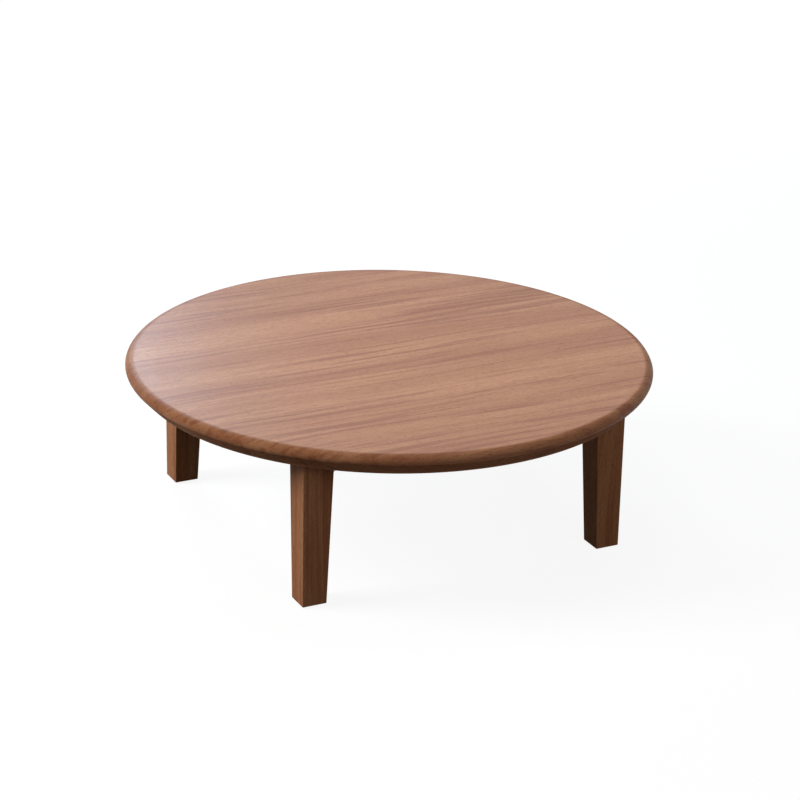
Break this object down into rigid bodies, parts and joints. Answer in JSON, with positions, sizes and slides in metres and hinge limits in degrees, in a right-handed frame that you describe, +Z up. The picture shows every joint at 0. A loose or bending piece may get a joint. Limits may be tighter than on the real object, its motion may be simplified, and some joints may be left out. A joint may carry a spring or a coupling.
{
  "type": "chabudai folding low table",
  "caption": "Low round table with a rounded rim on tapered square legs, each folding flat under the top on its own sprung steel hinge.",
  "frame": {"origin": "on the floor under the middle of the round top", "axes": "+X along the top's grain, to the sitter's right; +Y to the back; +Z up"},
  "size_m": [0.7999, 0.8, 0.26],
  "materials": {
    "top_wood": "satin",
    "leg_wood": "satin",
    "pad_rubber": "matte",
    "bracket_steel": "satin",
    "rivet_steel": "satin",
    "spring_steel": "satin",
    "screw_steel": "satin"
  },
  "bodies": {
    "table": {"table_top": "top_wood", "top_bracket_front_left": "bracket_steel", "top_bracket_front_right": "bracket_steel", "top_bracket_back_right": "bracket_steel", "top_bracket_back_left": "bracket_steel", "pivot_rivets": "rivet_steel", "anchor_pins": "rivet_steel", "top_screws": "screw_steel"},
    "leg_front_left": {"leg_front_left": "leg_wood", "foot_pad_front_left": "pad_rubber", "leg_bracket_front_left": "bracket_steel", "spring_pin_front_left": "rivet_steel", "leg_screws_front_left": "screw_steel"},
    "spring_front_left": {"spring_front_left": "spring_steel"},
    "leg_front_right": {"leg_front_right": "leg_wood", "foot_pad_front_right": "pad_rubber", "leg_bracket_front_right": "bracket_steel", "spring_pin_front_right": "rivet_steel", "leg_screws_front_right": "screw_steel"},
    "spring_front_right": {"spring_front_right": "spring_steel"},
    "leg_back_right": {"leg_back_right": "leg_wood", "foot_pad_back_right": "pad_rubber", "leg_bracket_back_right": "bracket_steel", "spring_pin_back_right": "rivet_steel", "leg_screws_back_right": "screw_steel"},
    "spring_back_right": {"spring_back_right": "spring_steel"},
    "leg_back_left": {"leg_back_left": "leg_wood", "foot_pad_back_left": "pad_rubber", "leg_bracket_back_left": "bracket_steel", "spring_pin_back_left": "rivet_steel", "leg_screws_back_left": "screw_steel"},
    "spring_back_left": {"spring_back_left": "spring_steel"}
  },
  "joints": [
    {"name": "leg_fold_front_left", "type": "hinge", "parent": "table", "child": "leg_front_left", "pos_m": [-0.2005, -0.238, 0.2125], "axis": [0, -1, 0], "range_deg": [0, 90], "deforming": ["spring_front_left"]},
    {"name": "spring_swing_front_left", "type": "hinge", "parent": "table", "child": "spring_front_left", "pos_m": [-0.148, -0.238, 0.2125], "axis": [0, -1, 0], "range_deg": [0, 12]},
    {"name": "leg_fold_front_right", "type": "hinge", "parent": "table", "child": "leg_front_right", "pos_m": [0.238, -0.2005, 0.2125], "axis": [1, 0, 0], "range_deg": [0, 90], "deforming": ["spring_front_right"]},
    {"name": "spring_swing_front_right", "type": "hinge", "parent": "table", "child": "spring_front_right", "pos_m": [0.238, -0.148, 0.2125], "axis": [1, 0, 0], "range_deg": [0, 12]},
    {"name": "leg_fold_back_right", "type": "hinge", "parent": "table", "child": "leg_back_right", "pos_m": [0.2005, 0.238, 0.2125], "axis": [0, 1, 0], "range_deg": [0, 90], "deforming": ["spring_back_right"]},
    {"name": "spring_swing_back_right", "type": "hinge", "parent": "table", "child": "spring_back_right", "pos_m": [0.148, 0.238, 0.2125], "axis": [0, 1, 0], "range_deg": [0, 12]},
    {"name": "leg_fold_back_left", "type": "hinge", "parent": "table", "child": "leg_back_left", "pos_m": [-0.238, 0.2005, 0.2125], "axis": [-1, 0, 0], "range_deg": [0, 90], "deforming": ["spring_back_left"]},
    {"name": "spring_swing_back_left", "type": "hinge", "parent": "table", "child": "spring_back_left", "pos_m": [-0.238, 0.148, 0.2125], "axis": [-1, 0, 0], "range_deg": [0, 12]}
  ],
  "couplings": [
    {"joint": "spring_swing_front_left", "follows": "leg_fold_front_left", "ratio": 0.13013},
    {"joint": "spring_swing_front_right", "follows": "leg_fold_front_right", "ratio": 0.13013},
    {"joint": "spring_swing_back_right", "follows": "leg_fold_back_right", "ratio": 0.13013},
    {"joint": "spring_swing_back_left", "follows": "leg_fold_back_left", "ratio": 0.13013}
  ]
}
